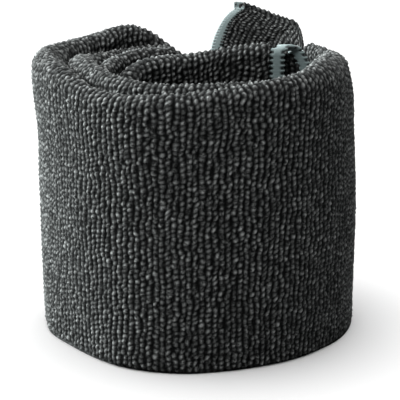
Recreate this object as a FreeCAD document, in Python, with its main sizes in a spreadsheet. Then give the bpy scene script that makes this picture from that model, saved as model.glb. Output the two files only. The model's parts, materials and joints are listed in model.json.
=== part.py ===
import FreeCAD, Part
import os
from math import cos, sin, radians, pi

# A microfibre terry towel folded lengthwise in four and rolled up, standing on its folded edge.
# Model frame: +Z up, mm, origin in the middle of the footprint on the floor.
# The strip is four cloth layers thick. Layer 1 is the outside of the roll, layer 4 the inside;
# one fat fold at the top joins 1 and 4, two flat folds at the foot join 1-2 and 3-4, and the
# two long edges of the cloth lie hidden on top of layers 2 and 3.

DIMENSIONS = [
    ("cloth_width", 300.0),      # flat cloth, across the strip
    ("cloth_length", 590.0),     # flat cloth, along the strip
    ("strip_height", 75.0),      # a quarter of the cloth width
    ("layer", 1.2),              # one thickness of cloth, loops included
    ("ply_gap", 0.1),            # air between two layers
    ("foot", 1.3),               # height of the flat folds the roll stands on
    ("hem", 4.0),                # width of the overlock stitching on every edge
    ("edge_drop", 3.2),          # long edges lie this far under the top of the rim
    ("tuck_out", 6.0),           # layer 3 shows this far past the inner end
    ("flap_width", 28.0),        # layer 2 slips out this far at the outer end
    ("flap_top", 83.5),          # height of the corner that stands up
    ("flap_tip", 9.0),           # tip of the corner, from the end of the path
    ("flap_knee", 68.5),         # where the end edge starts to lean
    ("flap_slope", 78.8),        # height of the long edge halfway down from the tip
    ("start_x", 4.155),
    ("start_y", 40.075),
    ("start_heading", 12.0),
]

# Centre line of the strip seen from above, from the outer end to the inner end:
# tangent arcs as (radius, turn in degrees), a negative turn goes clockwise.
BENDS = [
    (29.5, -37), (30.0, -36), (44.0, -25), (53.0, -20), (39.0, -28), (37.0, -29),
    (49.0, -22), (33.0, -33), (49.0, -22), (73.0, -15), (24.0, -45), (43.0, -25),
    (25.0, -44), (180.0, 6.5), (22.0, -56), (38.0, -32), (43.0, -28), (30.0, -40),
    (39.0, -31), (31.0, -41), (52.0, -24), (24.5, -50), (33.0, -37), (6.5, -168),
    (27.0, 36), (51.0, 19), (5.5, 204), (15.5, -69), (24.0, -46), (140.0, 6),
]

Z_AXIS = FreeCAD.Vector(0, 0, 1)


def make_sheet(doc):
    sheet = doc.addObject("Spreadsheet::Sheet", "Sizes")
    rows = list(DIMENSIONS)
    for number, (radius, turn) in enumerate(BENDS, 1):
        rows.append((f"bend{number}_radius", radius))
        rows.append((f"bend{number}_turn", float(turn)))
    for row, (name, value) in enumerate(rows, 1):
        sheet.set(f"A{row}", name)
        sheet.set(f"B{row}", str(value))
        sheet.setAlias(f"B{row}", name)
    doc.recompute()
    return sheet


def walk_path(sheet):
    """Arcs of the centre line: centre, radius, start angle, turn, start length, left side sign."""
    x, y = float(sheet.start_x), float(sheet.start_y)
    heading = radians(float(sheet.start_heading))
    arcs = []
    length = 0.0
    for number in range(1, len(BENDS) + 1):
        radius = float(sheet.get(f"bend{number}_radius"))
        turn = radians(float(sheet.get(f"bend{number}_turn")))
        side = 1.0 if turn > 0 else -1.0
        centre_x = x - side * radius * sin(heading)
        centre_y = y + side * radius * cos(heading)
        angle = heading - side * pi / 2
        arcs.append((centre_x, centre_y, radius, angle, turn, length))
        x = centre_x + radius * cos(angle + turn)
        y = centre_y + radius * sin(angle + turn)
        heading += turn
        length += radius * abs(turn)
    # the last arc carries on so that a tucked layer can show past the end
    centre_x, centre_y, radius, angle, turn, first = arcs[-1]
    spare = 2.0 * float(sheet.tuck_out) / radius
    way = 1.0 if turn > 0 else -1.0
    arcs[-1] = (centre_x, centre_y, radius, angle, turn + way * spare, first)
    return arcs, length


def cut_arcs(arcs, first, last):
    """The same arcs, kept between two lengths measured along the centre line."""
    kept = []
    for centre_x, centre_y, radius, angle, turn, begin in arcs:
        end = begin + radius * abs(turn)
        low, high = max(begin, first), min(end, last)
        if high - low < 1e-6:
            continue
        way = 1.0 if turn > 0 else -1.0
        start = angle + way * (low - begin) / radius
        stop = angle + way * (high - begin) / radius
        kept.append((centre_x, centre_y, radius, start, stop))
    return kept


def arc_edge(arc, offset):
    """One arc of the centre line moved sideways, positive towards the outside of the roll."""
    centre_x, centre_y, radius, start, stop = arc
    grown = radius - offset if stop > start else radius + offset
    circle = Part.Circle(FreeCAD.Vector(centre_x, centre_y, 0), Z_AXIS, grown)
    return Part.ArcOfCircle(circle, min(start, stop), max(start, stop))


def arc_point(arc, offset, at_end):
    centre_x, centre_y, radius, start, stop = arc
    grown = radius - offset if stop > start else radius + offset
    angle = stop if at_end else start
    return FreeCAD.Vector(centre_x + grown * cos(angle), centre_y + grown * sin(angle), 0)


def flat_sketch(body, name, role, level=None):
    """An empty sketch on one of the body's own planes, lifted to a level from the sheet."""
    sketch = body.newObject("Sketcher::SketchObject", name)
    for plane in body.Origin.OriginFeatures:
        if getattr(plane, "Role", "") == role:
            sketch.AttachmentSupport = [(plane, "")]
    sketch.MapMode = "FlatFace"
    if level:
        sketch.setExpression("AttachmentOffset.Base.z", level)
    return sketch


def draw_band(sketch, arcs, inner, outer):
    """Closed outline of a band that follows the centre line between two side offsets."""
    for arc in arcs:
        sketch.addGeometry(arc_edge(arc, outer), False)
        sketch.addGeometry(arc_edge(arc, inner), False)
    for arc, at_end in ((arcs[0], False), (arcs[-1], True)):
        near = arc_point(arc, inner, at_end)
        far = arc_point(arc, outer, at_end)
        sketch.addGeometry(Part.LineSegment(near, far), False)


def pad_band(body, name, arcs, inner, outer, level, height):
    """Stand a band of cloth up from a level to a height, both read from the sheet."""
    sketch = flat_sketch(body, f"{name}_outline", "XY_Plane", level)
    draw_band(sketch, arcs, inner, outer)
    pad = body.newObject("PartDesign::Pad", name)
    pad.Profile = sketch
    pad.setExpression("Length", height)
    sketch.Visibility = False
    return pad


def draw_rim(sketch, outer, inner):
    """Half ring: the cloth turning over from layer 1 to layer 4."""
    middle = FreeCAD.Vector(0, 0, 0)
    for radius in (outer, inner):
        circle = Part.Circle(middle, Z_AXIS, radius)
        sketch.addGeometry(Part.ArcOfCircle(circle, 0, pi), False)
    for side in (1, -1):
        near = FreeCAD.Vector(side * inner, 0, 0)
        far = FreeCAD.Vector(side * outer, 0, 0)
        sketch.addGeometry(Part.LineSegment(near, far), False)


def sweep_rim(body, name, arcs, outer, inner, level):
    """Carry the half ring along the centre line at the level where the fold begins."""
    spine = flat_sketch(body, f"{name}_path", "XY_Plane", level)
    for arc in arcs:
        spine.addGeometry(arc_edge(arc, 0.0), False)
    profile = flat_sketch(body, f"{name}_section", "XZ_Plane")
    draw_rim(profile, outer, inner)
    start = arc_point(arcs[0], 0.0, False)
    angle, stop = arcs[0][3], arcs[0][4]
    heading = angle + (pi / 2 if stop > angle else -pi / 2)
    turned = FreeCAD.Rotation(FreeCAD.Vector(0, 1, 0), heading * 180 / pi + 90)
    place = FreeCAD.Vector(start.x, 0, -start.y)
    profile.AttachmentOffset = FreeCAD.Placement(place, turned)
    profile.setExpression("AttachmentOffset.Base.y", level)
    pipe = body.newObject("PartDesign::AdditivePipe", name)
    pipe.Profile = profile
    pipe.Spine = spine
    pipe.Mode = "Standard"
    spine.Visibility = False
    profile.Visibility = False
    return pipe


def new_body(doc, label):
    body = doc.addObject("PartDesign::Body", label)
    body.Label = label
    body.Placement = FreeCAD.Placement()
    return body


class Strip:
    """Sizes of the folded strip that several pieces share."""

    def __init__(self, sheet):
        self.arcs, self.length = walk_path(sheet)
        layer, gap = float(sheet.layer), float(sheet.ply_gap)
        half_gap = gap / 2
        inside = half_gap + layer
        outside = inside + gap + layer
        self.half = outside
        self.bore = inside + gap
        self.offsets = {
            1: (inside + gap, outside),
            2: (half_gap, inside),
            3: (-inside, -half_gap),
            4: (-outside, -inside - gap),
        }
        self.hem = float(sheet.hem)
        self.flap = float(sheet.flap_width)
        self.tuck = float(sheet.tuck_out)
        self.rim_level = "Sizes.strip_height - (2 * Sizes.layer + 1.5 * Sizes.ply_gap)"
        self.edge_level = "Sizes.strip_height - Sizes.edge_drop - Sizes.hem"
        self.wall_height = f"{self.rim_level} - Sizes.foot"
        self.lining_height = f"{self.edge_level} - Sizes.foot"

    def cut(self, first, last):
        return cut_arcs(self.arcs, first, last)


def make_panels(doc, strip):
    """Layers 1 to 4: long walls of cloth standing on the folds at the foot."""
    full = (strip.flap + strip.hem, strip.length - strip.hem)
    spans = {
        "panel_outer": (1, *full, strip.wall_height),
        "panel_outer_lining": (2, strip.flap, full[1], strip.lining_height),
        "panel_inner_lining": (3, full[0], strip.length + strip.tuck - strip.hem,
                               strip.lining_height),
        "panel_inner": (4, *full, strip.wall_height),
    }
    bodies = []
    for label, (number, first, last, height) in spans.items():
        body = new_body(doc, label)
        inner, outer = strip.offsets[number]
        pad_band(body, f"{label}_wall", strip.cut(first, last), inner, outer,
                 "Sizes.foot", height)
        bodies.append(body)
    return bodies


def make_folds(doc, strip):
    """The fat rim at the top and the two flat folds the roll stands on."""
    run = strip.cut(strip.flap + strip.hem, strip.length - strip.hem)
    top = new_body(doc, "top_fold")
    sweep_rim(top, "top_fold_rim", run, strip.half, strip.bore, strip.rim_level)
    bodies = [top]
    for label, low, high in (("bottom_fold_outer", 2, 1), ("bottom_fold_inner", 4, 3)):
        body = new_body(doc, label)
        inner, outer = strip.offsets[low][0], strip.offsets[high][1]
        pad_band(body, f"{label}_prism", run, inner, outer, None, "Sizes.foot")
        bodies.append(body)
    return bodies


def make_end_hem(doc, strip, label, first, last, layers):
    """Overlock stitching over one end of the strip, folded the way the cloth is folded."""
    body = new_body(doc, label)
    run = strip.cut(first, last)
    for name, low, high in (("foot_a", 2, 1), ("foot_b", 4, 3)):
        inner, outer = strip.offsets[low][0], strip.offsets[high][1]
        pad_band(body, f"{label}_{name}", run, inner, outer, None, "Sizes.foot")
    for number in layers:
        inner, outer = strip.offsets[number]
        pad_band(body, f"{label}_layer{number}", run, inner, outer, "Sizes.foot",
                 strip.wall_height)
    sweep_rim(body, f"{label}_rim", run, strip.half, strip.bore, strip.rim_level)
    return body


def make_edge_hems(doc, strip):
    """Overlock stitching along the two long edges, hidden under the top fold."""
    spans = {
        "overlock_long_edge_a": (2, strip.flap, strip.length - strip.hem),
        "overlock_long_edge_b": (3, strip.flap + strip.hem, strip.length + strip.tuck),
    }
    bodies = []
    for label, (number, first, last) in spans.items():
        body = new_body(doc, label)
        inner, outer = strip.offsets[number]
        pad_band(body, f"{label}_band", strip.cut(first, last), inner, outer,
                 strip.edge_level, "Sizes.hem")
        bodies.append(body)
    corner = new_body(doc, "overlock_inner_corner")
    inner, outer = strip.offsets[3]
    end = strip.length + strip.tuck
    pad_band(corner, "overlock_inner_corner_band", strip.cut(end - strip.hem, end),
             inner, outer, "Sizes.foot", strip.lining_height)
    bodies.append(corner)
    return bodies


def flap_outline(sheet, strip, inset):
    """Corner of layer 2 that slipped out and stands up, seen from the front, edges moved in."""
    arc = strip.cut(0.0, strip.flap)
    left = arc_point(arc[0], 0.0, False).x
    right = arc_point(arc[-1], 0.0, True).x + 4.0
    top, base = float(sheet.flap_top), float(sheet.foot)
    edge = float(sheet.strip_height) - float(sheet.edge_drop) - 2.5
    lean = inset / strip.hem
    foot_left = FreeCAD.Vector(left + 12.0 + inset, base, 0)
    belly = FreeCAD.Vector(left + 1.0 + inset, 0.55 * float(sheet.flap_knee), 0)
    knee = FreeCAD.Vector(left + 0.5 + inset, float(sheet.flap_knee) + lean, 0)
    tip = FreeCAD.Vector(left + float(sheet.flap_tip) + 1.3 * lean, top - 5.7 * lean, 0)
    slope = FreeCAD.Vector(left + 18.0 - lean, float(sheet.flap_slope) - 4.3 * lean, 0)
    shoulder = FreeCAD.Vector(right, edge - inset, 0)
    foot_right = FreeCAD.Vector(right, base, 0)
    return [Part.Arc(foot_left, belly, knee), Part.LineSegment(knee, tip),
            Part.Arc(tip, slope, shoulder), Part.LineSegment(shoulder, foot_right),
            Part.LineSegment(foot_right, foot_left)]


def curved_plate(doc, label, strip, outline):
    """A flat outline stood in the bend of layer 2: the bend's ring cut by the outline."""
    ring = new_body(doc, f"{label}_ring")
    inner, outer = strip.offsets[2]
    pad_band(ring, f"{label}_ring_wall", strip.cut(0.0, strip.flap), inner, outer,
             "Sizes.foot", "Sizes.flap_top")
    shape = new_body(doc, f"{label}_profile")
    sketch = flat_sketch(shape, f"{label}_profile_outline", "XZ_Plane")
    for edge in outline:
        sketch.addGeometry(edge, False)
    pad = shape.newObject("PartDesign::Pad", f"{label}_profile_pad")
    pad.Profile = sketch
    pad.Midplane = True
    pad.Length = 200.0
    common = doc.addObject("Part::MultiCommon", label)
    common.Label = label
    common.Shapes = [ring, shape]
    return common


def make_flap(doc, sheet, strip):
    """The standing corner and the stitching on its two free edges."""
    cloth = curved_plate(doc, "corner_flap", strip, flap_outline(sheet, strip, strip.hem))
    whole = curved_plate(doc, "flap_blank", strip, flap_outline(sheet, strip, 0.0))
    hem = doc.addObject("Part::Cut", "overlock_flap")
    hem.Label = "overlock_flap"
    hem.Base = whole
    hem.Tool = cloth
    return [cloth, hem]


def export(doc, parts):
    doc.recompute()
    for item in doc.Objects:
        if "Invalid" in item.State or "Error" in item.State:
            raise RuntimeError(f"{item.Name} did not rebuild: {item.State}")
    os.makedirs("parts", exist_ok=True)
    for item in parts:
        shape = item.Shape
        if shape.isNull() or not shape.isValid() or shape.Volume <= 0:
            raise RuntimeError(f"{item.Label} has no valid solid")
        box = shape.BoundBox
        print(f"{item.Label}: solids {len(shape.Solids)} volume {shape.Volume:.0f} "
              f"x {box.XMin:.1f}..{box.XMax:.1f} y {box.YMin:.1f}..{box.YMax:.1f} "
              f"z {box.ZMin:.1f}..{box.ZMax:.1f}")
        shape.exportStep(os.path.join("parts", f"{item.Label}.step"))


def main():
    doc = FreeCAD.newDocument("rolled_towel")
    sheet = make_sheet(doc)
    strip = Strip(sheet)
    parts = make_panels(doc, strip)
    parts += make_folds(doc, strip)
    outer_end = (strip.flap, strip.flap + strip.hem)
    inner_end = (strip.length - strip.hem, strip.length)
    parts.append(make_end_hem(doc, strip, "overlock_outer_end", *outer_end, (1, 3, 4)))
    parts.append(make_end_hem(doc, strip, "overlock_inner_end", *inner_end, (1, 2, 4)))
    parts += make_edge_hems(doc, strip)
    parts += make_flap(doc, sheet, strip)
    export(doc, parts)


main()
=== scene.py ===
# %% [markdown]
# # A rolled terry sports towel
# One small towel, folded lengthwise in four and rolled up, stands on its folded edge. Everything that
# shows is the same looped cloth, bent round one winding path, with overlock stitching on its edges.
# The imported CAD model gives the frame, in metres: the floor is z = 0 and +Z is up.

import json

import bpy
import numpy as np
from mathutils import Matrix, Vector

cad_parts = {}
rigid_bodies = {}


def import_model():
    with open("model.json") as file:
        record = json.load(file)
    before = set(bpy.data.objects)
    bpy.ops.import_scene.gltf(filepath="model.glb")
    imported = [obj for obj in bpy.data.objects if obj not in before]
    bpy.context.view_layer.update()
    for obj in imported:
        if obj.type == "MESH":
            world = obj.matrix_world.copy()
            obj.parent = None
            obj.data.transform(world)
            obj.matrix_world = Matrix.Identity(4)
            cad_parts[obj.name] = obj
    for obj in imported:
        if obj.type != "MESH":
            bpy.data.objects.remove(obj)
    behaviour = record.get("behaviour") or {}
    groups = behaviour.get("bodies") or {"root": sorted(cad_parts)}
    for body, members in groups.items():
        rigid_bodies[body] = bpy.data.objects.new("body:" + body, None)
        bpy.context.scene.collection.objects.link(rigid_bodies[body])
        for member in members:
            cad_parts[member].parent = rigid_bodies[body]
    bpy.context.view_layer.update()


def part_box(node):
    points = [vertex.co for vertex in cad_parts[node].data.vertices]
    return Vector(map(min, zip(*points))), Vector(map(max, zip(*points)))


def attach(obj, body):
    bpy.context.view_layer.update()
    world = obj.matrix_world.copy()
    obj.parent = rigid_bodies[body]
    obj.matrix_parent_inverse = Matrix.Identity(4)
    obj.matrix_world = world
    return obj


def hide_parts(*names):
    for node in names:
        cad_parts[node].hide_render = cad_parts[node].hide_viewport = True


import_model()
MM = 0.001
STRIP_HEIGHT = round(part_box("top_fold")[1].z / MM, 2)
EDGE_HEIGHT = round(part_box("overlock_long_edge_a")[1].z / MM, 2)
HEM_WIDTH = EDGE_HEIGHT - round(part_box("overlock_long_edge_a")[0].z / MM, 2)
print("strip", STRIP_HEIGHT, "mm high, stitching", HEM_WIDTH, "mm wide")

# %% [markdown]
# ## The winding path
# Seen from above, the folded strip winds clockwise from its outer end at the back right, goes round
# twice, turns back on itself behind the left side and ends as a tongue across the middle. A chain of
# tangent arcs describes this well: each arc is a radius and a turn, and there is never a kink. The
# arcs were fitted to a path laid out and rounded, and the last three were then changed.
# The same arcs are in the CAD model, so the cloth lies where its plain solids are.

# %% Centre line of the strip
BENDS = [
    (29.5, -37), (30.0, -36), (44.0, -25), (53.0, -20), (39.0, -28), (37.0, -29),
    (49.0, -22), (33.0, -33), (49.0, -22), (73.0, -15), (24.0, -45), (43.0, -25),
    (25.0, -44), (180.0, 6.5), (22.0, -56), (38.0, -32), (43.0, -28), (30.0, -40),
    (39.0, -31), (31.0, -41), (52.0, -24), (24.5, -50), (33.0, -37), (6.5, -168),
    (27.0, 36), (51.0, 19), (5.5, 204), (15.5, -69), (24.0, -46), (140.0, 6),
]
START_X, START_Y, START_HEADING = 4.155, 40.075, np.radians(12)

radii = np.array([bend[0] for bend in BENDS])
turns = np.radians([bend[1] for bend in BENDS])
curves = np.sign(turns) / radii
arc_starts = np.r_[0, np.cumsum(radii * abs(turns))]
headings = START_HEADING + np.r_[0, np.cumsum(turns)]
joint_x = START_X + np.r_[0, np.cumsum(np.diff(np.sin(headings)) / curves)]
joint_y = START_Y - np.r_[0, np.cumsum(np.diff(np.cos(headings)) / curves)]
STRIP_LENGTH = arc_starts[-1]


def centre_line(s):
    """Place and heading at length s: start of its arc plus a stretch of circle.
    x = x0 + (sin h - sin h0) / k and y = y0 - (cos h - cos h0) / k, with h = h0 + k t."""
    arc = np.clip(np.searchsorted(arc_starts, s, "right") - 1, 0, len(BENDS) - 1)
    k = curves[arc]
    heading = headings[arc] + k * (s - arc_starts[arc])
    x = joint_x[arc] + (np.sin(heading) - np.sin(headings[arc])) / k
    y = joint_y[arc] - (np.cos(heading) - np.cos(headings[arc])) / k
    return x, y, heading


print("strip length", round(STRIP_LENGTH, 1), "mm")

# %% [markdown]
# ## How the cloth departs from a plain strip
# Real cloth is never even. The rim rises and dips along its length, it is fatter where nothing
# presses on it, and the walls lean. Each of these is a smooth curve through a few stations along the
# strip: a length in mm and a value in mm, joined by straight lines and then blurred.

# %% Uneven rim, swell and lean
RIM_HEIGHT = [
    (0, 74), (28, 73.5), (40, 73.4), (50, 74.4), (58, 75.8), (66, 76.8), (76, 77.8), (88, 78.4),
    (96, 77.7), (109, 77.4), (117, 76.6), (128, 75.2), (138, 74.4), (146, 73.4), (152, 73),
    (160, 73.3), (168, 75.2), (177, 76.3), (200, 76.4), (210, 76), (220, 76.1), (225, 76.6),
    (230, 77.8), (233, 78.5), (236, 78), (239, 77), (242, 74.8), (245, 72.3), (248, 69.6),
    (252, 67.5), (262, 67), (275, 67.5), (290, 69), (310, 70.5), (330, 71.5), (342, 74.6),
    (352, 76.3), (365, 76), (380, 75.5), (400, 75.8), (420, 76), (430, 74.6), (437, 72.8),
    (445, 72.3), (453, 72.6), (460, 72.8), (468, 73.2), (476, 73.6), (485, 74.2), (500, 74.2),
    (510, 73), (518, 71), (530, 69), (537, 69.8), (542, 72.4), (547, 74.2), (557, 74),
    (562, 74.6), (570, 76), (578, 77.2), (600, 77.4),
]
RIM_HALF = [
    (0, 2.4), (50, 2.4), (58, 3.6), (66, 4.3), (80, 4.3), (92, 3.6), (105, 2.8), (150, 2.6),
    (165, 3.2), (180, 4.2), (200, 4.4), (210, 3.6), (225, 2.9), (300, 2.3), (380, 2.6),
    (400, 3.0), (420, 3.2), (435, 2.8), (455, 2.3), (530, 2.5), (560, 2.7), (600, 2.4),
]
RIM_TILT = [
    (0, 0), (150, 0), (172, 0.8), (188, 1.5), (202, 1.3), (214, 0.3), (222, 0), (600, 0),
]
RIM_LEAN = [
    (0, 0), (28, -0.6), (40, -1.8), (50, -3.4), (58, -4.6), (66, -5.8), (76, -5.7), (86, -3.9),
    (100, -1.5), (120, 0), (160, 0), (180, -1.2), (196, -1.5), (208, -1.0), (225, 0),
    (285, -0.5), (300, -2.6), (325, -3.0), (345, -0.6), (370, 0), (385, -1.0), (400, -2.8),
    (412, -3.8), (422, -3.9), (432, -2.6), (442, -0.8), (452, 0), (600, 0),
]
FOOT_LEAN = [
    (0, 0), (60, 0), (70, -0.8), (80, -1.9), (90, -3.4), (110, -3.4), (120, -2.2), (130, -0.6),
    (150, -0.3), (160, -0.8), (170, -1.0), (178, 0.3), (184, 0.3), (190, -1.4), (200, -1.9),
    (210, -1.8), (230, 0), (315, -0.5), (330, -2.8), (355, -2.8), (370, -0.5), (395, -0.6),
    (410, -1.2), (430, -1), (450, 0), (600, 0),
]
SIDE_SHIFT = [
    (0, 0), (455, 0), (462, -0.4), (466, -2.2), (470, -3.6), (475, -5.0), (480, -5.6),
    (487, -4.4), (495, -3.2), (505, -2.9), (512, -2.0), (518, 0), (523, 2.5), (530, 5.2),
    (540, 6.0), (545, 4.9), (550, 2.4), (556, 0.8), (562, 0), (600, 0),
]
station = np.arange(-10.0, 620.0, 1.0)
blur = np.exp(-((np.arange(-12, 13) / 4.5) ** 2))
blur /= blur.sum()


def soft_curve(table):
    """Values at every millimetre of the strip: straight lines between stations, then blurred."""
    lengths, values = np.array(table, float).T
    line = np.interp(station, lengths, values)
    padded = np.pad(line, len(blur) // 2, mode="edge")
    return np.convolve(padded, blur, mode="valid")


rim_height, rim_half = soft_curve(RIM_HEIGHT), soft_curve(RIM_HALF)
rim_lean, foot_lean = soft_curve(RIM_LEAN), soft_curve(FOOT_LEAN)
rim_tilt, side_shift = soft_curve(RIM_TILT), soft_curve(SIDE_SHIFT)


def at(curve, s):
    """A soft curve's value at length s."""
    return np.interp(s, station, curve)


def place(s, off, z):
    """A point in metres from the strip's own measures: length s along the path, off to its outer
    side and z up. The wall's lean is added: the rim's share grows with the fourth power of the
    height, the foot's share fades upwards, and a side shift moves the whole wall."""
    x, y, heading = centre_line(s)
    level = np.clip(z / STRIP_HEIGHT, 0, 1.2)
    lean = at(rim_lean, s) * level**4 + at(foot_lean, s) * (1 - np.clip(level, 0, 1)) ** 1.6
    side = off + lean + at(side_shift, s)
    return np.stack([x - np.sin(heading) * side, y + np.cos(heading) * side, z], -1) * MM


print("rim from", round(rim_height.min(), 1), "to", round(rim_height.max(), 1), "mm high")

# %% [markdown]
# ## Repeatable unevenness
# Loops, tones and wrinkles need random values that are the same in each run. A hash turns whole
# numbers into a value from 0 to 1, and value noise joins the hashes of a grid with smooth steps.

# %% Hash and noise
def hashed(i, j, salt=0.0):
    """Fraction of a large sine: a repeatable value from 0 to 1 for each pair of whole numbers."""
    value = np.sin(i * 127.1 + j * 311.7 + salt * 74.7) * 43758.5453
    return value - np.floor(value)


def noise(x, y, salt=0.0):
    """Value noise: the four hashes round a point, mixed by smooth steps of its fractions."""
    i, j = np.floor(x), np.floor(y)
    u, v = x - i, y - j
    u, v = u * u * (3 - 2 * u), v * v * (3 - 2 * v)
    low = hashed(i, j, salt) * (1 - u) + hashed(i + 1, j, salt) * u
    high = hashed(i, j + 1, salt) * (1 - u) + hashed(i + 1, j + 1, salt) * u
    return low * (1 - v) + high * v


# %% [markdown]
# ## The looped pile
# Warp-knitted terry has its loops in ribs. The ribs run up the roll, and in each rib the loops sit
# one above the other like beads. Sculpting thousands of loops by hand isn't practical, and a bump
# alone would leave the outline smooth, so the loops are a height over the cloth: a rib profile
# times a bead profile, each rib with its own phase and each bead with its own size and slant.

# %% Height of the loops
RIB_PITCH, LOOP_PITCH, PILE_HEIGHT = 1.66, 1.45, 0.75
RUBBED_AT, RUBBED_SPREAD = 184, 22


def loop_pile(s, q):
    """Height in mm and tone of the pile at length s and distance q across the strip.
    Rib profile: a raised cosine of the distance to the rib's middle. Bead profile: the same along
    the rib, after shifting each rib by its own phase. Ribs sway most in mussed patches and where
    the roll was rubbed, a bell curve along the strip."""
    mussed = 0.7 * noise(s * 0.06, q * 0.07, 8)
    mussed = np.maximum(mussed, 0.9 * np.exp(-(((s - RUBBED_AT) / RUBBED_SPREAD) ** 2)))
    sway = 0.5 * (noise(s * 0.09, q * 0.11, 1) - 0.5) + 0.40 * (noise(s * 0.5, q * 0.5, 2) - 0.5)
    sway = sway + mussed * 0.62 * (noise(s * 0.45, q * 0.60, 9) - 0.5)
    across = s / RIB_PITCH + sway
    rib = np.floor(across)
    beside = across - rib - 0.5
    step = q / LOOP_PITCH + hashed(rib, 7.0) + 0.7 * noise(s * 0.35, q * 0.3, 3)
    step = step + beside * 1.1 * (hashed(rib, 19.0) - 0.30)
    bead = np.floor(step)
    along = step - bead - 0.5
    size = hashed(rib, bead, 3.0)
    shift = (hashed(rib, bead, 5.0) - 0.5) * 0.30
    ridge = np.clip(0.5 + 0.5 * np.cos(2 * np.pi * (beside - shift)), 0, 1) ** 0.85
    knot = np.clip(0.5 + 0.5 * np.cos(2 * np.pi * along), 0, 1) ** 0.6
    height = ridge * (0.24 + 0.76 * knot) * (0.66 + 0.34 * size)
    return PILE_HEIGHT * height, size, height


# %% [markdown]
# ## From grids to meshes
# Every piece is a closed tube: rings of points, one ring per step along the strip. One helper
# works out the surface's outward direction, another hands the arrays to Blender at once.

# %% Mesh helpers
def outward(points):
    """Unit normals of a grid of rings: the cross product of the steps along and round it."""
    along = np.gradient(points, axis=0)
    wrapped = np.concatenate([points[:, -1:], points, points[:, :1]], axis=1)
    around = np.gradient(wrapped, axis=1)[:, 1:-1]
    normal = np.cross(around, along)
    return normal / np.maximum(np.linalg.norm(normal, axis=-1, keepdims=True), 1e-12)


def signed_volume(points, quads):
    """Six times the volume inside the faces, positive when they face outwards."""
    a, b, c, d = (points[quads[:, n]] for n in range(4))
    return np.einsum("ij,ij->", a, np.cross(b, c)) + np.einsum("ij,ij->", a, np.cross(c, d))


def tube_mesh(name, rings, uv, values, material):
    """A closed tube from an array of rings (steps, points round, xyz), with flat end caps."""
    steps, count = rings.shape[:2]
    points = rings.reshape(-1, 3)
    i, j = np.meshgrid(np.arange(steps - 1), np.arange(count), indexing="ij")
    k = (j + 1) % count
    quads = np.stack([i * count + j, (i + 1) * count + j, (i + 1) * count + k, i * count + k], -1)
    quads = quads.reshape(-1, 4)
    first, last = np.arange(count), (steps - 1) * count + np.arange(count)
    caps = [first, last[::-1]]
    if signed_volume(points, quads) < 0:
        quads = quads[:, ::-1]
        caps = [cap[::-1] for cap in caps]
    corners = np.concatenate([quads.ravel(), *caps]).astype(np.int32)
    starts = np.r_[np.arange(len(quads)) * 4, len(quads) * 4, len(quads) * 4 + count]
    mesh = bpy.data.meshes.new(name)
    mesh.vertices.add(len(points))
    mesh.vertices.foreach_set("co", points.astype(np.float32).ravel())
    mesh.loops.add(len(corners))
    mesh.loops.foreach_set("vertex_index", corners)
    mesh.polygons.add(len(starts))
    mesh.polygons.foreach_set("loop_start", starts.astype(np.int32))
    mesh.polygons.foreach_set("use_smooth", np.ones(len(starts), bool))
    mesh.update(calc_edges=True)
    sharpen_caps(mesh, count, len(points))
    layer = mesh.uv_layers.new(name="UVMap")
    layer.data.foreach_set("uv", uv.reshape(-1, 2)[corners].astype(np.float32).ravel())
    for key, value in values.items():
        field = mesh.attributes.new(key, "FLOAT", "POINT")
        field.data.foreach_set("value", value.astype(np.float32).ravel())
    mesh.materials.append(material)
    piece = bpy.data.objects.new(name, mesh)
    bpy.context.scene.collection.objects.link(piece)
    return piece


def sharpen_caps(mesh, count, total):
    """The rings round both end caps are creases, so the caps don't tint the tube's shading."""
    ends = np.zeros(len(mesh.edges) * 2, np.int32)
    mesh.edges.foreach_get("vertices", ends)
    ends = ends.reshape(-1, 2)
    on_first = (ends < count).all(axis=1)
    on_last = (ends >= total - count).all(axis=1)
    sharp = mesh.attributes.new("sharp_edge", "BOOLEAN", "EDGE")
    sharp.data.foreach_set("value", on_first | on_last)


# %% [markdown]
# ## Materials
# Two finishes: the charcoal terry, dull with a faint sheen from its fine fibres, and the teal-grey
# overlock thread. Both read the piece's own UV map (centimetres along and across the cloth) and the
# attributes stored with the shape, so the pattern follows the cloth round every bend. The shadow
# between the loops and between single strands is painted shade: the colour goes near black where the
# "pile" attribute is low and in the strand gaps, and the thread is darkened the same way in its
# hollows. The tone of each loop comes from "tone".

# %% Shared fibre group
def new_group(name, inputs, outputs):
    group = bpy.data.node_groups.new(name, "ShaderNodeTree")
    for label, kind, value in inputs:
        socket = group.interface.new_socket(name=label, in_out="INPUT", socket_type=kind)
        socket.default_value = value
    for label, kind in outputs:
        group.interface.new_socket(name=label, in_out="OUTPUT", socket_type=kind)
    return group


def link(tree, source, target):
    tree.links.new(source, target)


def noise_node(tree, vector, scale, detail=3.0, rough=0.6):
    node = tree.nodes.new("ShaderNodeTexNoise")
    node.inputs["Scale"].default_value = scale
    node.inputs["Detail"].default_value = detail
    node.inputs["Roughness"].default_value = rough
    link(tree, vector, node.inputs["Vector"])
    return node.outputs["Fac"]


def math_node(tree, operation, first, second, clamp=False):
    node = tree.nodes.new("ShaderNodeMath")
    node.operation = operation
    node.use_clamp = clamp
    for socket, value in zip(node.inputs, (first, second)):
        if isinstance(value, (int, float)):
            socket.default_value = value
        else:
            link(tree, value, socket)
    return node.outputs[0]


def mix_colour(tree, factor, first, second):
    node = tree.nodes.new("ShaderNodeMix")
    node.data_type = "RGBA"
    for socket, value in ((node.inputs[0], factor), (node.inputs[6], first), (node.inputs[7], second)):
        if isinstance(value, (int, float, tuple)):
            socket.default_value = value
        else:
            link(tree, value, socket)
    return node.outputs[2]


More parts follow.
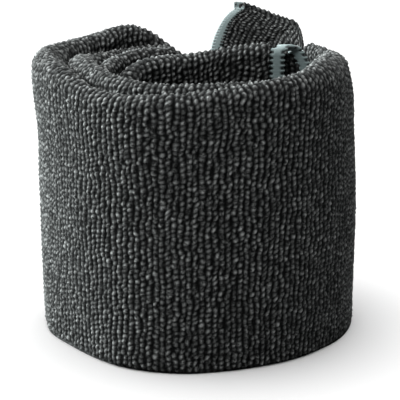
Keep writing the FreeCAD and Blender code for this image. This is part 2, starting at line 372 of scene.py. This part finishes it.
def make_fibre_group():
    """Fine yarn: a height for the bump and a mottle for the colour, from the cloth's own UVs."""
    group = new_group(
        "yarn_fibres",
        [("Fineness", "NodeSocketFloat", 1.0), ("Patch Size", "NodeSocketFloat", 1.0)],
        [("Height", "NodeSocketFloat"), ("Mottle", "NodeSocketFloat")],
    )
    entry = group.nodes.new("NodeGroupInput")
    leave = group.nodes.new("NodeGroupOutput")
    uv = group.nodes.new("ShaderNodeUVMap")
    uv.uv_map = "UVMap"
    fine = group.nodes.new("ShaderNodeVectorMath")
    fine.operation = "SCALE"
    link(group, uv.outputs[0], fine.inputs[0])
    link(group, entry.outputs["Fineness"], fine.inputs["Scale"])
    patch = group.nodes.new("ShaderNodeVectorMath")
    patch.operation = "SCALE"
    link(group, uv.outputs[0], patch.inputs[0])
    link(group, entry.outputs["Patch Size"], patch.inputs["Scale"])
    yarn = noise_node(group, fine.outputs[0], 38.0, 2.0)
    fuzz = noise_node(group, fine.outputs[0], 110.0, 2.0)
    link(group, math_node(group, "ADD", yarn, math_node(group, "MULTIPLY", fuzz, 0.5)),
         leave.inputs["Height"])
    link(group, noise_node(group, patch.outputs[0], 0.55, 4.0), leave.inputs["Mottle"])
    return group


fibres = make_fibre_group()
print("fibre group has", len(fibres.nodes), "nodes")

# %% Terry and thread materials
def attribute_node(tree, name):
    node = tree.nodes.new("ShaderNodeAttribute")
    node.attribute_name = name
    return node.outputs["Fac"]


def start_material(name):
    material = bpy.data.materials.new(name)
    material.use_nodes = True
    tree = material.node_tree
    return material, tree, tree.nodes["Principled BSDF"]


def add_fibres(tree, shader, fineness, patch, strength, distance):
    group = tree.nodes.new("ShaderNodeGroup")
    group.node_tree = fibres
    group.inputs["Fineness"].default_value = fineness
    group.inputs["Patch Size"].default_value = patch
    bump = tree.nodes.new("ShaderNodeBump")
    bump.inputs["Strength"].default_value = strength
    bump.inputs["Distance"].default_value = distance
    link(tree, group.outputs["Height"], bump.inputs["Height"])
    link(tree, bump.outputs[0], shader.inputs["Normal"])
    return group.outputs["Mottle"]


def make_strand_gap_shade(tree):
    """Painted shade in the gaps between single strands: fine noise with strong contrast, twisted a
    little.
    """
    uv = tree.nodes.new("ShaderNodeUVMap")
    uv.uv_map = "UVMap"
    fine = tree.nodes.new("ShaderNodeTexNoise")
    fine.inputs["Scale"].default_value = 11.0
    fine.inputs["Detail"].default_value = 2.0
    fine.inputs["Distortion"].default_value = 0.6
    link(tree, uv.outputs[0], fine.inputs["Vector"])
    spread = math_node(tree, "MULTIPLY", math_node(tree, "SUBTRACT", fine.outputs["Fac"], 0.36), 4.0)
    return math_node(tree, "ADD", math_node(tree, "MAXIMUM", spread, 0.0), 0.15, clamp=True)


def make_terry():
    """Charcoal loops with painted shade: near black in the gaps between loops and strands, greyer on
    the crowns, each loop its own tone.
    """
    material, tree, shader = start_material("charcoal_terry")
    mottle = add_fibres(tree, shader, 1.0, 1.0, 0.9, 0.0003)
    # strands is the painted shade in the gaps between single strands.
    strands = make_strand_gap_shade(tree)
    pile = attribute_node(tree, "pile")
    tone = attribute_node(tree, "tone")
    worn = math_node(tree, "ADD", math_node(tree, "MULTIPLY", tone, 0.55),
                     math_node(tree, "MULTIPLY", mottle, 0.6), clamp=True)
    crown = mix_colour(tree, worn, (0.105, 0.110, 0.109, 1), (0.290, 0.301, 0.298, 1))
    # Painted shade: the loop height and the strand gaps set how far the colour goes to the near-black
    # gap colour.
    depth = math_node(tree, "MULTIPLY", math_node(tree, "POWER", pile, 1.5), strands, clamp=True)
    colour = mix_colour(tree, depth, (0.0012, 0.0013, 0.0013, 1), crown)
    link(tree, colour, shader.inputs["Base Color"])
    shader.inputs["Roughness"].default_value = 0.92
    shader.inputs["Specular IOR Level"].default_value = 0.04
    shader.inputs["Sheen Weight"].default_value = 0.02
    shader.inputs["Sheen Roughness"].default_value = 0.5
    shader.inputs["Sheen Tint"].default_value = (0.80, 0.86, 0.86, 1)
    return material


def make_thread():
    """Teal-grey thread with painted shade: darker in the hollows between its turns and between its
    teeth.
    """
    material, tree, shader = start_material("teal_grey_thread")
    mottle = add_fibres(tree, shader, 1.6, 1.0, 0.5, 0.00008)
    pile = attribute_node(tree, "pile")
    body = mix_colour(tree, mottle, (0.115, 0.158, 0.158, 1), (0.185, 0.235, 0.235, 1))
    # Painted shade: the colour goes near black where the band's "pile" mask is low, between the teeth
    # and the thread ridges.
    colour = mix_colour(tree, pile, (0.02, 0.026, 0.027, 1), body)
    link(tree, colour, shader.inputs["Base Color"])
    shader.inputs["Roughness"].default_value = 0.6
    shader.inputs["Specular IOR Level"].default_value = 0.35
    shader.inputs["Sheen Weight"].default_value = 0.15
    return material


def make_ground():
    """The plain knitted ground the loops grow from, seen only deep between the layers."""
    material, tree, shader = start_material("charcoal_ground_knit")
    mottle = add_fibres(tree, shader, 2.0, 1.0, 0.6, 0.0001)
    colour = mix_colour(tree, mottle, (0.012, 0.013, 0.013, 1), (0.03, 0.032, 0.032, 1))
    link(tree, colour, shader.inputs["Base Color"])
    shader.inputs["Roughness"].default_value = 0.95
    return material


terry, thread, ground_knit = make_terry(), make_thread(), make_ground()
print("materials:", terry.name, thread.name, ground_knit.name)

# %% [markdown]
# ## The folded strip
# A slice through the strip is a tall narrow stadium: the outer face, the fat rounded rim where the
# cloth turns over, the inner face, and two soft folds at the foot with a groove between them. This
# slice is carried along the path. Rows are close together where the loops show and far apart where
# layers press on each other, which keeps every piece light.

# %% One slice of the strip
HALF = 2.1
RIM_ARC = np.pi / 2 * HALF
WALL = STRIP_HEIGHT - HALF
FOOT_RADIUS = 1.15
WHOLE_WALL = WALL - 3
SWELL_REACH = 14.0
FINE = 0.375
COLUMN = 0.356


def wall_rows(depth, fine=FINE, coarse=3.0):
    """Distances down a wall from the rim: fine rows to a depth, then coarse ones to the foot."""
    if depth > WHOLE_WALL:
        return np.linspace(0, WALL - FOOT_RADIUS, int((WALL - FOOT_RADIUS) / fine))
    near = np.linspace(0, depth, max(int(depth / fine), 2))
    far = np.linspace(depth, WALL - FOOT_RADIUS, max(int((WALL - depth) / coarse), 3))
    return np.r_[near, far[1:]]


def slice_rows(outer_depth, inner_depth):
    """Distances q across the strip, from the outer foot (negative) over the rim to the inner
    foot (positive), 0 being the top of the rim."""
    outer = -(RIM_ARC + wall_rows(outer_depth)[::-1])
    rim = np.linspace(-RIM_ARC, RIM_ARC, int(3.4 * RIM_ARC / FINE))[1:-1]
    inner = RIM_ARC + wall_rows(inner_depth)
    return np.r_[outer, rim, inner]


# Points round the foot, from the inner side to the outer: side, height and squareness as shares.
FOOT = np.array([
    (1.0, 0.62, 0.70), (1.0, 0.20, 0.86), (1.0, 0.0, 0.98), (0.55, 0.0, 1.0), (0.20, 0.0, 1.0),
    (0.06, 0.35, 1.0), (0.0, 0.9, 1.0), (-0.06, 0.35, 1.0), (-0.20, 0.0, 1.0), (-0.55, 0.0, 1.0),
    (-1.0, 0.0, 0.98), (-1.0, 0.20, 0.86), (-1.0, 0.62, 0.70),
])


def strip_surface(s, q):
    """Slice coordinates before the pile. Rim: half an ellipse. Walls: straight down, thinning
    from the rim's swell to the flat strip within about a finger's width."""
    height, half = at(rim_height, s), at(rim_half, s)
    side = np.where(q < 0, 1.0, -1.0)
    angle = np.clip(np.abs(q) / HALF, 0, np.pi / 2)
    down = np.clip((np.abs(q) - RIM_ARC) / (WALL - FOOT_RADIUS), 0, 1)
    top = height - half + at(rim_tilt, s) * side * np.sin(angle)
    z = np.where(down > 0, FOOT_RADIUS + (top - FOOT_RADIUS) * (1 - down), top + half * np.cos(angle))
    thin = np.exp(-((down * WALL / SWELL_REACH) ** 2))
    wide = HALF + (half - HALF) * thin
    return side * wide * np.sin(angle), z


def visible(q, outer_depth, inner_depth):
    """1 where loops stand free, fading to 0 where a wall is hidden against its neighbour."""
    deep = np.abs(q) - RIM_ARC
    limit = np.where(q < 0, outer_depth, inner_depth)
    fade = np.clip((limit - deep) / 4.0, 0, 1)
    return np.where(limit > WHOLE_WALL, 1.0, fade)


def wrinkles(s, q):
    """Slow swells of the cloth: noise over centimetres, larger up and down than along."""
    return 0.9 * (noise(s * 0.055, q * 0.028, 11) - 0.5) + 0.35 * (noise(s * 0.16, q * 0.09, 12) - 0.5)


def strip_piece(name, first, last, outer_depth, inner_depth):
    """One length of the strip, pile and foot included, as a closed tube. Loops also stand round
    the foot where the outer wall shows all the way down."""
    s_row = np.linspace(first, last, max(int((last - first) / COLUMN), 8))
    q_row = slice_rows(outer_depth, inner_depth)
    s, q = np.meshgrid(s_row, q_row, indexing="ij")
    off, z = strip_surface(s, q)
    shown = visible(q, outer_depth, inner_depth)
    off = off + np.sign(-q) * wrinkles(s, q) * shown * np.clip(np.abs(q) / RIM_ARC, 0, 1)
    foot_s, side = np.meshgrid(s_row, FOOT[:, 0], indexing="ij")
    foot_off = -side * (HALF - FOOT_RADIUS * (1 - FOOT[:, 2]) * 2.2)
    foot_z = FOOT[:, 1] * FOOT_RADIUS + 0 * foot_s
    all_s = np.concatenate([s, foot_s], axis=1)
    all_q = np.concatenate([q, np.sign(-side) * (RIM_ARC + WALL) + 0 * side], axis=1)
    base = place(all_s, np.concatenate([off, foot_off], axis=1),
                 np.concatenate([z, foot_z], axis=1))
    swell = at(rim_half, all_s) / HALF
    cloth_q = all_q + np.clip(all_q, -RIM_ARC, RIM_ARC) * (swell - 1)
    height, tone, crown = loop_pile(all_s, cloth_q)
    free = np.concatenate([shown, 0 * foot_s], axis=1)
    if outer_depth > WHOLE_WALL:
        free = np.where(all_q < 0, 1.0, free)
    rings = base + outward_checked(base) * (height * free)[..., None] * MM
    rings[..., 2] = np.maximum(rings[..., 2], 0.05 * MM)
    # The "pile" value is the mask of the painted gap shade: it follows the loop crowns, and where a
    # wall is hidden against its neighbour its contrast is cut towards a dim middle value.
    pile = 0.25 + (crown - 0.25) * np.maximum(free, 0.35)
    uv = np.stack([all_s, all_q], -1) / 10.0
    piece = tube_mesh(name, rings, uv, {"pile": pile, "tone": tone}, terry)
    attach(piece, "root")
    print(name, rings.shape[0], "x", rings.shape[1], "points")
    return piece


def outward_checked(points):
    """Outward normals: those of the grid, turned round if they point into the tube."""
    normal = outward(points)
    middle = points.mean(axis=1, keepdims=True)
    inwards = np.sum((points - middle) * normal) < 0
    return -normal if inwards else normal


# %% [markdown]
# The strip is laid in seven lengths that meet in the valleys between ribs, so no piece is too
# heavy: the outer wrap in three, the inner wrap in two, and the part that doubles back in two.

# %% Lay the strip
SPANS = [
    ("terry_outer_wrap_right", 32.0, 113.9, WALL, 8.0),
    ("terry_outer_wrap_front", 113.9, 199.4, WALL, 8.0),
    ("terry_outer_wrap_back", 199.4, 284.8, WALL, 8.0),
    ("terry_inner_wrap_front", 284.8, 373.8, 8.0, 36.0),
    ("terry_inner_wrap_back", 373.8, 462.8, 8.0, 36.0),
    ("terry_doubled_turn", 462.8, 521.5, 30.0, 30.0),
    ("terry_tongue", 521.5, STRIP_LENGTH - HEM_WIDTH, 30.0, 60.0),
]
strips = [strip_piece(*span) for span in SPANS]
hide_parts("panel_outer", "panel_inner", "top_fold",
            "bottom_fold_outer", "bottom_fold_inner")

# %% [markdown]
# ## The ground cloth
# Under the loops lies one knitted sheet: 300 mm across and 590 mm long before it was folded. It is
# followed here through all four layers: down layer 2, round the foot, up layer 1, over the rim,
# down layer 4, round the other foot and up layer 3. A grid across and along it, given a thickness,
# is the honest way to show what the cloth is cut to.

# %% Section across the folded cloth
LAYER_1, LAYER_2 = 1.72, 0.58
GROUND_OUTER, GROUND_START, GROUND_HALF = 1.2, 33.0, 0.2


def fold_section(count, height, outer=LAYER_1):
    """Half a slice by arc length, mirrored: (off, z) of the sheet and its direction of thickness."""
    inner = outer / 3
    foot = (outer - inner) / 2
    top = height - outer - 0.9
    rise = np.linspace(EDGE_HEIGHT - 0.5, foot + 0.4, count)
    turn = np.linspace(0, np.pi, 9)[1:-1]
    climb = np.linspace(foot + 0.4, top, count)
    over = np.linspace(0, np.pi / 2, 7)[1:]
    middle = (outer + inner) / 2
    off = np.r_[np.full(count, inner), middle - foot * np.cos(turn),
                np.full(count, outer), outer * np.cos(over)]
    z = np.r_[rise, foot + 0.4 - foot * np.sin(turn), climb, top + outer * np.sin(over)]
    off = np.r_[off, -off[-2::-1]]
    z = np.r_[z, z[-2::-1]]
    step = np.stack([np.gradient(off), np.gradient(z)], -1)
    step /= np.linalg.norm(step, axis=-1, keepdims=True)
    return off, z, step[:, 1], -step[:, 0]


def ground_cloth():
    """The whole folded sheet as one closed piece: one face of the section, then the other."""
    off, z, side_off, side_z = fold_section(18, STRIP_HEIGHT, GROUND_OUTER)
    s_row = np.linspace(GROUND_START, STRIP_LENGTH - 1.5, 200)
    s, section = np.meshgrid(s_row, np.arange(len(off)), indexing="ij")
    scale = (at(rim_height, s) - 1.8) / (STRIP_HEIGHT - 1.0)
    rings = [place(s, off[section] + t * side_off[section],
                   np.maximum(z[section] * scale + t * side_z[section], 0.35))
             for t in (GROUND_HALF, -GROUND_HALF)]
    rings = np.concatenate([rings[0], rings[1][:, ::-1]], axis=1)
    uv = np.stack(np.broadcast_arrays(s_row[:, None] / 10, np.arange(rings.shape[1]) * 0.2), -1)
    values = {"pile": np.ones(rings.shape[:2])}
    piece = tube_mesh("ground_cloth", rings, uv, values, ground_knit)
    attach(piece, "root")
    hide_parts("panel_outer_lining", "panel_inner_lining")
    return piece


ground = ground_cloth()
print("ground cloth has", len(ground.data.polygons), "faces")

# %% [markdown]
# ## Overlock stitching
# Looper threads wrap every raw edge in a flat band with a row of teeth on each side. The band is a
# flattened tube carried along the edge, wherever the edge goes, with a ridge for each thread.

# %% Edge band
BAND_HALF, TOOTH = 0.74, 1.47
BAND_ROWS = np.array([
    (-0.45, 0.0), (-0.38, 0.35), (-0.1, 0.75), (0.35, 0.98), (0.8, 1.0), (1.3, 1.0), (1.8, 1.0),
    (2.3, 1.0), (2.8, 1.0), (3.2, 1.0), (3.55, 0.96), (3.8, 0.8), (3.95, 0.4), (4.0, 0.0),
])


def band_profile():
    """The band's outline: distance in from the edge in mm, and side as a share of its half."""
    front = BAND_ROWS
    back = BAND_ROWS[-2:0:-1] * np.array([1, -1])
    return np.concatenate([front, back])


def edge_band(name, surface, along, length_mm, half=BAND_HALF):
    """A closed band round an edge. surface(along, inwards, height) gives points in metres;
    the inner rim is scalloped tooth by tooth and the faces are ridged thread by thread."""
    profile = band_profile()
    t, row = np.meshgrid(along, np.arange(len(profile)), indexing="ij")
    mm = t * length_mm
    inwards, level = profile[row, 0], profile[row, 1]
    tooth = np.clip(0.5 + 0.9 * np.cos(2 * np.pi * mm / TOOTH), 0, 1)
    rim = np.clip((inwards - 2.9) / 0.6, 0, 1)
    lip = np.clip((0.9 - inwards) / 0.7, 0, 1)
    inwards = inwards - rim * (0.95 * (1 - tooth) - 0.25) + lip * 0.45 * (1 - tooth)
    ridge = 0.5 + 0.5 * np.cos(4 * np.pi * mm / TOOTH)
    edge = np.maximum(rim, lip)
    height = half * level * (1 - 0.5 * edge * (1 - tooth)) + 0.09 * np.sign(level) * ridge
    rings = surface(t, inwards, height)
    # Painted shade mask for the thread: low in the gaps between the teeth at the band's rims and
    # between the thread ridges.
    pile = np.clip(1.0 - 0.95 * edge * (1 - tooth) - 0.30 * (1 - ridge), 0, 1)
    uv = np.stack([mm, profile[row, 0] + 5 * np.sign(level)], -1) / 10.0
    piece = tube_mesh(name, rings, uv, {"pile": pile, "tone": pile}, thread)
    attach(piece, "root")
    print(name, rings.shape[0], "x", rings.shape[1], "points")
    return piece


def steps_for(length_mm, pitch=0.37):
    return np.linspace(0, 1, max(int(length_mm / pitch), 12))


# %% Bands across both ends of the strip
def end_surface(s_end, way, first, last, slip, lower=0.0):
    """The edge across one end of the folded strip, from one share of its section to another.
    slip moves the edge along the strip, layer by layer."""
    off, z, side_off, side_z = fold_section(60, float(at(rim_height, s_end)) - lower)
    run = np.r_[0, np.cumsum(np.hypot(np.diff(off), np.diff(z)))]
    keep = (run >= first * run[-1]) & (run <= last * run[-1])
    run = run[keep] - run[keep][0]
    off, z, side_off, side_z = off[keep], z[keep], side_off[keep], side_z[keep]

    def surface(t, inwards, height):
        mm = t * run[-1]
        o, h = np.interp(mm, run, off), np.interp(mm, run, z)
        n_o, n_z = np.interp(mm, run, side_off), np.interp(mm, run, side_z)
        s = s_end + slip(o, h) - way * inwards
        return place(s, o + height * n_o, np.maximum(h + height * n_z, 0.05))

    return surface, run[-1]


def tuck_slip(off, z):
    """The far layer reaches past the near ones: a little at the rim, more below it."""
    far = np.clip(0.5 + 0.5 * off / LAYER_1, 0, 1)
    wall = np.where((z < EDGE_HEIGHT - 0.2) & (off < 1.15), 0.0, 1.0)
    reach = 5.2 + 2.6 * np.clip((STRIP_HEIGHT + 0.5 - z) / 5.0, 0, 1)
    return reach * far * wall * np.clip(z / 50.0, 0, 1)


surface, run = end_surface(STRIP_LENGTH, 1, 0.0, 1.0, tuck_slip)
inner_end = edge_band("overlock_inner_end_thread", surface, steps_for(run), run, half=0.62)
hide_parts("overlock_inner_end", "overlock_inner_corner")
OUTER_END, SLIPPED_SHARE = 28.0, 0.245


def no_slip(off, z):
    return 0 * z


surface, run = end_surface(OUTER_END, -1, SLIPPED_SHARE, 1.0, no_slip, lower=3.0)
outer_end = edge_band("overlock_outer_end_thread", surface, steps_for(run), run, half=0.62)
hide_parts("overlock_outer_end")

# %% [markdown]
# ## The standing corner
# At the outer end one inner layer has slipped out and its corner stands up above the rim, leaning
# over. It is a plate of cloth with loops on both sides. Its left edge is the towel's short end, and
# its top edge, the long side, curls over to the back. The plate is a blend between those edges.

# %% Corner shape
# Left edge: place along the strip in mm and share of the rise. Top edge: share across and height.
LEFT_EDGE = [(12.0, 0.02), (5.0, 0.15), (1.5, 0.31), (0.0, 0.5), (-0.7, 0.69), (-0.5, 0.82),
             (1.4, 0.90), (4.6, 0.970), (8.0, 1.0)]
TOP_EDGE = [(0.0, 80.8), (0.10, 80.6), (0.22, 79.6), (0.45, 77.2), (0.70, 75.6), (0.86, 72.8),
            (1.0, 68.0)]
FLAP_RIGHT = 26.0
CURL_START, CURL_RADIUS, BACK_LEAN = 0.955, 1.4, 10.0
CORNER_RISE, CORNER_ACROSS, CORNER_UP = 80.0, 31.0, 84.0


def blurred(table, value):
    """A table's straight lines over 0 to 1, blurred and read at the given values."""
    fine = np.linspace(0, 1, 81)
    lengths, values = np.array(table, float).T
    line = np.pad(np.interp(fine, lengths, values), 4, mode="reflect", reflect_type="odd")
    return np.interp(value, fine, np.convolve(line, np.ones(9) / 9, "valid"))


def corner_sheet(across, up, height):
    """A point of the corner: across 0 is the leaning left edge, up 1 the long edge. Past the curl
    line the cloth follows a half circle backwards, so the long edge hangs behind the crest."""
    flat_up = np.clip(up, 0, CURL_START)
    share = np.linspace(0, 1, len(LEFT_EDGE))
    left_s, rise = (blurred(list(zip(share, column)), flat_up) for column in zip(*LEFT_EDGE))
    s = left_s + (FLAP_RIGHT - left_s) * across
    z = 1.0 + (blurred(TOP_EDGE, np.clip(across, 0, 1)) - 1.0) * rise
    past = np.maximum(up - CURL_START, 0) * CORNER_RISE
    turn = np.minimum(past / CURL_RADIUS, np.pi)
    free = 1 - np.clip((across - 0.55) / 0.45, 0, 1) ** 2
    out = free * CURL_RADIUS * (1 - np.cos(turn)) + height * np.cos(turn)
    z = z + CURL_RADIUS * np.sin(turn) + height * np.sin(turn)
    z = z - np.maximum(past - np.pi * CURL_RADIUS, 0)
    lift = np.clip((flat_up - 0.55) / 0.45, 0, 1)
    crease = np.exp(-(((across - 0.62 - 0.9 * (flat_up - 0.85)) / 0.07) ** 2))
    bend = 1.6 * lift * np.sin(3.0 * across) + 1.4 * crease * lift
    back = BACK_LEAN * lift**1.5 * (0.25 + 0.75 * free)
    return place(s, LAYER_2 + out + bend + back, z)


def corner_piece():
    """Terry on both faces, from the foot to the curled edge."""
    steps, count = ((270, 88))
    up_row = np.linspace(0.0, 1.04, steps)
    across_row = np.linspace(0.05, 1.0, count)
    around = np.concatenate([across_row, across_row[::-1]])
    face = np.r_[np.full(count, -1.0), np.full(count, 1.0)]
    up, across = np.meshgrid(up_row, around, indexing="ij")
    sign = np.broadcast_to(face, up.shape)
    pile_s = across * CORNER_ACROSS + 7.0 * (sign > 0)
    height, tone, crown = loop_pile(pile_s, up * CORNER_UP)
    edge = np.clip(np.minimum(across - 0.05, 1.0 - across) / 0.02, 0, 1)
    rings = corner_sheet(across, up, sign * (0.3 + height * edge))
    uv = np.stack([pile_s, up * CORNER_UP], -1) / 10.0
    piece = tube_mesh("terry_standing_corner", rings, uv, {"pile": crown, "tone": tone}, terry)
    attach(piece, "root")
    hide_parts("corner_flap")
    return piece


corner = corner_piece()
print("corner has", len(corner.data.polygons), "faces")


def corner_side(t, inwards, height):
    """The band up the left edge, ending just under the tip."""
    return corner_sheet(inwards * 0.72 / 27.0, t * 0.978, height)


def corner_top(t, inwards, height):
    """The band along the long edge, which hangs behind the crest."""
    return corner_sheet(0.16 + t * 0.78, 1.070 - inwards * 0.9 / CORNER_RISE, height)


SIDE_RUN, TOP_RUN, CORNER_BAND = 88.0, 32.0, 0.66
corner_end = edge_band("overlock_corner_end_thread", corner_side, steps_for(SIDE_RUN), SIDE_RUN,
                       half=CORNER_BAND)
corner_long = edge_band("overlock_corner_long_thread", corner_top, steps_for(TOP_RUN), TOP_RUN,
                        half=CORNER_BAND)
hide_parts("overlock_flap")

# %% [markdown]
# ## Open inner end
# At the inner end of the tongue the folded strip gapes: the two far layers reach a little further
# than the near ones, so the cloth between them shows in the shadow. The long edges themselves run
# inside the rim for the whole length.

# %% Long edges and the far layer
LONG_START, LONG_STOP, LONG_RUN, LONG_BAND = 34.0, STRIP_LENGTH - 6.0, 550.0, 0.45
FAR_COLUMNS = 24


def long_edge_band(name, off):
    """A band standing under the rim, at one side of the middle."""
    def surface(t, inwards, height):
        s = LONG_START + t * (LONG_STOP - LONG_START)
        level = np.minimum(EDGE_HEIGHT, at(rim_height, s) - 3.6)
        return place(s, off + height, level - inwards)
    return edge_band(name, surface, steps_for(LONG_RUN, 0.74), LONG_RUN, half=LONG_BAND)


edge_a = long_edge_band("overlock_long_edge_a_thread", LAYER_2)
edge_b = long_edge_band("overlock_long_edge_b_thread", -LAYER_2)
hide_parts("overlock_long_edge_a")
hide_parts("overlock_long_edge_b")


def tucked_piece():
    """The far layer past the near ones: a short closed plate with loops on both faces."""
    z_row = np.linspace(1.5, STRIP_HEIGHT - 0.8, 200)
    share = np.linspace(0, 1, FAR_COLUMNS)
    around = np.r_[share, share[::-1]]
    face = np.r_[np.full(FAR_COLUMNS, 1.0), np.full(FAR_COLUMNS, -1.0)]
    z, share = np.meshgrid(z_row, around, indexing="ij")
    first = STRIP_LENGTH - HEM_WIDTH - 1.0
    last = STRIP_LENGTH - 3.2 + tuck_slip(LAYER_1, z)
    s = first + (last - first) * share
    height, tone, crown = loop_pile(s, z)
    rings = place(s, 1.2 + 0.35 * share + face * (0.4 + 0.5 * height), z)
    piece = tube_mesh("terry_far_layer", rings, np.stack([s, z], -1) / 10.0,
                      {"pile": crown, "tone": tone}, terry)
    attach(piece, "root")
    return piece


tucked = tucked_piece()

# %% [markdown]
# ## Floor, light and camera
# A plain pale floor and three lamps: a key low on the left, a weak fill in front and a wide one
# overhead, with a faint even surround. The key and the fill light only the towel, so the floor keeps
# one soft shadow, that of the overhead lamp. The camera looks down at sixteen degrees through a long
# lens, so the roll's sides stay nearly parallel.

# %% Floor and lamps
AIM_HEIGHT = 0.04


def make_floor():
    """A large square at z = 0 in a matt, nearly white material."""
    mesh = bpy.data.meshes.new("studio_floor")
    mesh.from_pydata([(-6, -6, 0), (6, -6, 0), (6, 6, 0), (-6, 6, 0)], [], [(0, 1, 2, 3)])
    floor = bpy.data.objects.new("studio_floor", mesh)
    bpy.context.scene.collection.objects.link(floor)
    material, tree, shader = start_material("pale_floor")
    shader.inputs["Base Color"].default_value = (0.93, 0.93, 0.93, 1)
    shader.inputs["Roughness"].default_value = 0.9
    mesh.materials.append(material)


def make_light(name, place_m, size, power, colour=(1, 1, 1)):
    """A round area lamp turned to face the middle of the roll."""
    lamp = bpy.data.lights.new(name, "AREA")
    lamp.shape, lamp.size, lamp.energy, lamp.color = "DISK", size, power, colour
    holder = bpy.data.objects.new(name, lamp)
    bpy.context.scene.collection.objects.link(holder)
    holder.location = place_m
    direction = np.array([0, 0, AIM_HEIGHT]) - np.array(place_m)
    yaw = np.arctan2(direction[0], -direction[1])
    pitch = np.arctan2(np.hypot(direction[0], direction[1]), -direction[2])
    holder.rotation_euler = (pitch, 0, yaw + np.pi)
    return holder


make_floor()
key = make_light("key_left", (-0.62, 0.21, 0.28), 0.30, 26.0, (0.95, 1.0, 1.0))
fill = make_light("fill_front", (-0.40, -0.40, 0.90), 0.5, 11.0)
make_light("overhead", (-0.12, 0.08, 1.05), 1.3, 21.0)
towel_only = bpy.data.collections.new("towel_only")
bpy.context.scene.collection.children.link(towel_only)
for piece in bpy.data.objects:
    if piece.type == "MESH" and piece.name.startswith(("terry", "overlock", "ground")):
        towel_only.objects.link(piece)
key.light_linking.receiver_collection = towel_only
fill.light_linking.receiver_collection = towel_only
world = bpy.data.worlds.new("bright_surround")
world.use_nodes = True
world.node_tree.nodes["Background"].inputs["Color"].default_value = (1, 1, 1, 1)
world.node_tree.nodes["Background"].inputs["Strength"].default_value = 0.12
bpy.context.scene.world = world
bpy.context.scene.view_settings.view_transform = "Standard"

# %% Camera
ELEVATION = np.radians(16)
DISTANCE = 0.550
TARGET = np.array([-0.000345, 0.001675, 0.038])
lens = bpy.data.cameras.new("camera")
lens.sensor_width = 36.0
lens.lens = 178.2
lens.shift_x, lens.shift_y = 0.010, -0.0238
camera = bpy.data.objects.new("camera", lens)
bpy.context.scene.collection.objects.link(camera)
camera.location = TARGET + DISTANCE * np.array([0, -np.cos(ELEVATION), np.sin(ELEVATION)])
camera.rotation_euler = (np.pi / 2 - ELEVATION, 0, 0)
bpy.context.scene.camera = camera
